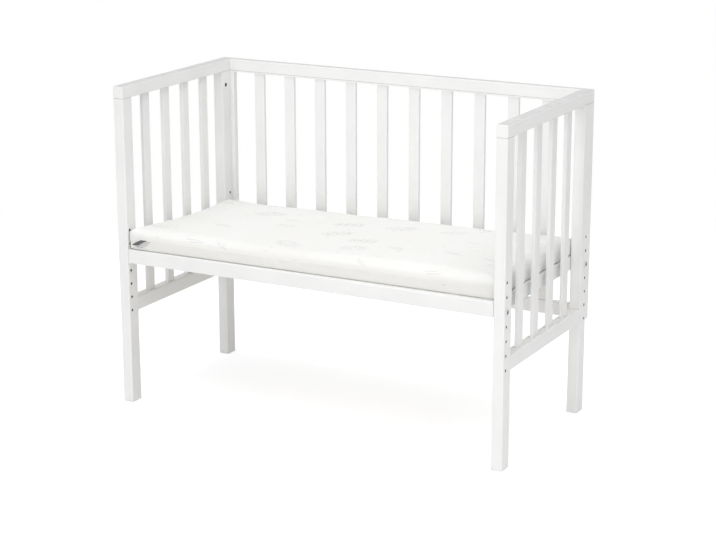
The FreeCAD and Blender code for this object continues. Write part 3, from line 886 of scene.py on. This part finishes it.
def blowUp(piece):
    look = mattressLook
    still = piece.vertex_groups.new(name="resting")
    restingTop = mattressLow.z + look["restingHigh"]
    resting = [vert.index for vert in piece.data.vertices if vert.co.z < restingTop]
    still.add(resting, 1.0, "REPLACE")
    seam = [vert.index for vert in piece.data.vertices
            if abs(vert.co.z - seamHeight) < look["seamHoldHigh"]
            and towardBorder(vert.co)[0] < look["seamHoldReach"]]
    still.add(seam, look["seamHold"], "REPLACE")
    before = [vert.co.copy() for vert in piece.data.vertices]
    cloth = piece.modifiers.new("blown", "CLOTH")
    cloth.settings.quality = look["clothQuality"]
    cloth.settings.mass = look["clothMass"]
    cloth.settings.use_pressure = True
    cloth.settings.uniform_pressure_force = look["pressure"]
    cloth.settings.shrink_min = -look["looseCover"]
    cloth.settings.vertex_group_mass = "resting"
    cloth.settings.effector_weights.gravity = 0
    cloth.collision_settings.use_collision = False
    cloth.collision_settings.use_self_collision = False
    for step in range(1, look["frames"] + 1):
        scene.frame_set(step)
    settled(piece)
    # no point may move far
    for vert, start in zip(piece.data.vertices, before):
        move = vert.co - start
        side = Vector((move.x, move.y, 0))
        if side.length > 1e-9:
            side = side.normalized() * look["sideLimit"] * math.tanh(side.length / look["sideLimit"])
        rise = look["riseLimit"] * math.tanh(move.z / look["riseLimit"])
        vert.co = start + side + Vector((0, 0, rise))
    scene.frame_set(1)


def fitToSpace(piece):
    # scale the blown shape to the space that its CAD solid takes
    look = mattressLook
    points = [vert.co.copy() for vert in piece.data.vertices]
    bottom = min(point.z for point in points)
    nearest, farthest = look["borderBand"]
    border = [point.z for point in points
              if nearest < towardBorder(point)[0] < farthest and point.z > mattressMiddle.z]
    tall = (borderTop - bottom) / (sum(border) / len(border) - bottom)
    length = (mattressHalf.x + look["endSpread"]) / max(abs(point.x - mattressMiddle.x) for point in points)
    depth = mattressHalf.y / max(abs(point.y - mattressMiddle.y) for point in points)
    print("filling fitted by", round(length, 4), round(depth, 4), round(tall, 4))
    for vert, point in zip(piece.data.vertices, points):
        vert.co.x = mattressMiddle.x + (point.x - mattressMiddle.x) * length
        vert.co.y = mattressMiddle.y + (point.y - mattressMiddle.y) * depth
        vert.co.z = bottom + (point.z - bottom) * tall


def unevenLift(point):
    look = mattressLook
    lift = 0.0
    for spot in unevenTop:
        fromMiddle = Vector((spot["at"][0] * mattressHalf.x, spot["at"][1] * mattressHalf.y, 0))
        centre = mattressMiddle + fromMiddle
        away = Vector((point.x - centre.x, point.y - centre.y)).length
        lift += spot["lift"] * bell(away, spot["reach"])
    often = look["swellsPerMetre"]
    return lift + look["swell"] * noise.noise(Vector((point.x * often, point.y * often, look["swellPlace"])))


def sewAndSettle(piece):
    look = mattressLook
    thickness = mattressHigh.z - mattressLow.z
    for vert in piece.data.vertices:
        point = vert.co
        height = max(0.0, (point.z - mattressLow.z) / thickness)
        gap, outward = towardBorder(point)
        point.z += unevenLift(point) * height ** look["liftFade"]
        if gap >= look["borderReach"]:
            continue
        # the seam with its puckers
        near = bell(point.z - seamHeight, look["seamHalfWidth"])
        wide = bell(point.z - seamHeight, look["puckerHigh"])
        way = point.x * abs(outward.y) + point.y * abs(outward.x)
        forEnds, forLongSides = look["puckerSides"]
        wave = noise.noise(Vector((way / look["puckerPitch"], outward.x * forEnds, outward.y * forLongSides)))
        point -= outward * (look["seamDepth"] * near + look["puckerDepth"] * wave * wide)
        # the foot
        above = point.z - mattressLow.z
        flat = bell(above, look["footEdgeHigh"])
        point += outward * (look["footSpread"] * bell(above, look["footHigh"]) + look["footEdge"] * flat)
        point += outward * look["cornerPull"] * (2 * outward.x * outward.y) ** 2
        point.z -= look["footSink"] * flat


def layPlan(piece):
    # unrolled place of each point on the cloth, in metres, as a UV map for the print
    look = mattressLook
    shift = look["planShift"]
    plan = piece.data.uv_layers.new(name="clothPlan")
    for loop in piece.data.loops:
        point = piece.data.vertices[loop.vertex_index].co
        gap, outward = towardBorder(point)
        drop = max(0.0, borderTop - point.z) if gap < look["planFold"] else 0.0
        plan.data[loop.index].uv = (point.x + outward.x * drop + shift, point.y + outward.y * drop + shift)


def layAskew(piece):
    look = mattressLook
    for vert in piece.data.vertices:
        forward = look["frontSpread"] * (mattressMiddle.y - vert.co.y) / mattressHalf.y
        vert.co.y += look["askew"] * (vert.co.x - mattressMiddle.x) / mattressHalf.x - max(0.0, forward)


def makeMattress():
    piece = newPiece("mattress_cover", softBlock(), finishes["cover"])
    remesh = piece.modifiers.new("even", "REMESH")
    remesh.mode = "VOXEL"
    remesh.voxel_size = mattressLook["voxel"]
    settled(piece)
    shapeFilling(piece)
    blowUp(piece)
    addSmoothing(piece)
    settled(piece)
    fitToSpace(piece)
    sewAndSettle(piece)
    layPlan(piece)
    layAskew(piece)
    shadeSmooth(piece)
    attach(piece, "mattress")
    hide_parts("mattress")
    print("mattress:", len(piece.data.polygons), "faces")
    return piece


mattressPiece = makeMattress()


# Cloth tab hanging aslant from the seam of the front border: a dark layer over a pale one

tabLook = {
    "at": (9 * mm, 5 * mm),      # from the place of the CAD tab, lengthwise and upwards
    "width": 17 * mm,
    "slant": labelHigh.x - labelLow.x - 17 * mm,
    "thickness": 0.7 * mm,
    "rootDepth": 1.6 * mm,      # how far it is sewn in
    "rootRate": 6,              # over 1 in this many parts of its length
    "clear": 0.9 * mm,          # from there on it lies at least this far off the border
    "standOff": 2.6 * mm,       # its free end stands off the border
    "bendPower": 1.4,
    "sagPower": 1.2,
    "curl": 1.2 * mm,
    "underShift": (9 * mm, -5.6 * mm),
    "shiftRate": 3,             # full after 1 in this many parts of its length
    "underStandOff": 1.2 * mm,
    "rayStart": 0.1,            # in front of the mattress, to find its border
    "cells": (16, 10),
}


def makeTab(name, material, shift, standOff):
    look = tabLook
    cover = BVHTree.FromObject(mattressPiece, bpy.context.evaluated_depsgraph_get())
    leastX = mattressLow.x + mattressLook["cornerRadius"]
    leastZ = mattressLow.z + mattressLook["lowRound"]
    shape = bmesh.new()
    bmesh.ops.create_grid(shape, x_segments=look["cells"][0], y_segments=look["cells"][1], size=0.5)
    for vert in shape.verts:
        run = vert.co.x + 0.5        # 0 at the seam, 1 at the free end
        side = vert.co.y + 0.5
        x = labelHigh.x + look["at"][0] - look["width"] * side - look["slant"] * run + shift[0]
        sag = (labelHigh.z - labelLow.z) * run ** look["sagPower"]
        z = labelHigh.z + look["at"][1] - sag + shift[1] * min(1.0, run * look["shiftRate"])
        z -= look["curl"] * run * math.sin(math.pi * side)
        start = Vector((max(x, leastX), mattressLow.y - look["rayStart"], max(z, leastZ)))
        hit = cover.ray_cast(start, Vector((0, 1, 0)))[0]
        out = run * look["rootRate"]
        off = standOff * run ** look["bendPower"] + look["clear"] * min(1.0, out)
        off -= look["rootDepth"] * max(0.0, 1 - out)
        vert.co = Vector((x, hit.y - off, z))
    bmesh.ops.recalc_face_normals(shape, faces=shape.faces)
    bmesh.ops.solidify(shape, geom=shape.faces[:], thickness=look["thickness"])
    bmesh.ops.recalc_face_normals(shape, faces=shape.faces)
    piece = newPiece(name, meshFrom(name, shape), material)
    addSmoothing(piece)
    shadeSmooth(piece)
    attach(piece, "mattress")
    return piece


darkTab = makeTab("label_tab", finishes["darkTape"], (0.0, 0.0), tabLook["standOff"])
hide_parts("mattress_label")
makeTab("label_lining", finishes["paleTape"], tabLook["underShift"], tabLook["underStandOff"])
print("label made")


# Floor, light and camera

stageLook = {
    "floorRadius": 9.0,
    "floorSides": 96,
    "floorDrop": 0.2 * mm,      # it lies this much under the feet
    "floorGrey": rgb(0.92, 0.92, 0.92),
    "glow": 0.47,               # share of plain white that the floor adds for the camera
    "glowTint": rgb(0.96, 0.975, 1.0),
    "shadowReach": (0.7, 2.2),  # floor turns to plain white between these distances
    "skyLight": 0.64,
    "skyDim": 0.30,             # from the two sides
    "skySides": (0.3, 0.95),    # share of the way sideways: where the dimming begins and is full
    "key": {"at": (2.5, -1.3, 1.1), "aim": (0.4, 0, 0.35), "size": 1.6, "power": 9.5},
    "fill": {"at": (-0.4, -4.9, 0.9), "aim": (0, 0, 0.35), "size": 2.2, "power": 43},
    "overhead": {"at": (0.3, -0.6, 3.2), "aim": (0, 0, 0.3), "size": 3.0, "power": 52},
}


def seenPlainly(finish):
    # 1 for the camera and for what metal and glass mirror
    rays = [finish.node("ShaderNodeLightPath", output=name)
            for name in ("Is Camera Ray", "Is Glossy Ray", "Is Transmission Ray")]
    return (rays[0] + rays[1] + rays[2]).least(1.0)


def makeFloor():
    look = stageLook
    shape = bmesh.new()
    bmesh.ops.create_circle(shape, cap_ends=True, segments=look["floorSides"], radius=look["floorRadius"])
    bmesh.ops.translate(shape, vec=(0, 0, -look["floorDrop"]), verts=shape.verts)
    finish = newFinish("studio_floor")
    x, y = finish.split(finish.place())[:2]
    away = (x * x + y * y).root().ramp(*look["shadowReach"])
    matt = finish.node("ShaderNodeBsdfDiffuse", inputs={"Color": look["floorGrey"]})
    glow = finish.node("ShaderNodeEmission", inputs={"Color": look["glowTint"], "Strength": look["glow"]})
    white = finish.node("ShaderNodeEmission", inputs={"Strength": 1.0})
    lit = finish.node("ShaderNodeAddShader", inputs={0: matt, 1: glow})
    shown = finish.node("ShaderNodeMixShader", inputs={0: away, 1: lit, 2: white})
    whole = finish.node("ShaderNodeMixShader", inputs={0: seenPlainly(finish), 1: matt, 2: shown})
    floor = newPiece("studio_floor", meshFrom("studio_floor", shape), finish.ended(whole))


def makeSky():
    look = stageLook
    scene.world = bpy.data.worlds.new("studio_sky")
    finish = Finish(scene.world)
    bright, dim, white = [
        finish.node("ShaderNodeBackground", inputs={"Color": rgb(1, 1, 1), "Strength": strength})
        for strength in (look["skyLight"], look["skyDim"], 1.0)]
    sideways = abs(finish.split(finish.node("ShaderNodeTexCoord"))[0]).ramp(*look["skySides"])
    soft = finish.node("ShaderNodeMixShader", inputs={0: sideways, 1: bright, 2: dim})
    whole = finish.node("ShaderNodeMixShader", inputs={0: seenPlainly(finish), 1: soft, 2: white})
    finish.ended(whole, "ShaderNodeOutputWorld")


def makeLamp(name, look):
    lamp = bpy.data.lights.new(name, "AREA")
    lamp.shape = "SQUARE"
    lamp.size = look["size"]
    lamp.energy = look["power"]
    holder = bpy.data.objects.new(name, lamp)
    holder.location = look["at"]
    toward = Vector(look["aim"]) - Vector(look["at"])
    holder.rotation_euler = toward.to_track_quat("-Z", "Y").to_euler()
    scene.collection.objects.link(holder)


cameraLook = {
    "at": (2.047, -3.742, 1.502),
    "yaw": math.radians(28.53),
    "pitch": math.radians(15.42),
    "roll": math.radians(-0.13),
    "lens": 96.7,
    "sensor": 36.0,
}


def makeCamera():
    look = cameraLook
    yaw, pitch, roll = look["yaw"], look["pitch"], look["roll"]
    level = math.cos(pitch)
    forward = Vector((-math.sin(yaw) * level, math.cos(yaw) * level, -math.sin(pitch)))
    right = Vector((math.cos(yaw), math.sin(yaw), 0))
    up = right.cross(forward)
    turnedRight = right * math.cos(roll) + up * math.sin(roll)
    turnedUp = up * math.cos(roll) - right * math.sin(roll)
    turn = Matrix((turnedRight, turnedUp, -forward)).transposed().to_4x4()
    camera = bpy.data.cameras.new("camera")
    camera.lens = look["lens"]
    camera.sensor_width = look["sensor"]
    holder = bpy.data.objects.new("camera", camera)
    holder.matrix_world = Matrix.Translation(look["at"]) @ turn
    scene.collection.objects.link(holder)
    scene.camera = holder


makeFloor()
makeSky()
for lampName in ("key", "fill", "overhead"):
    makeLamp(lampName + "_lamp", stageLook[lampName])
makeCamera()
print("floor, light and camera set")
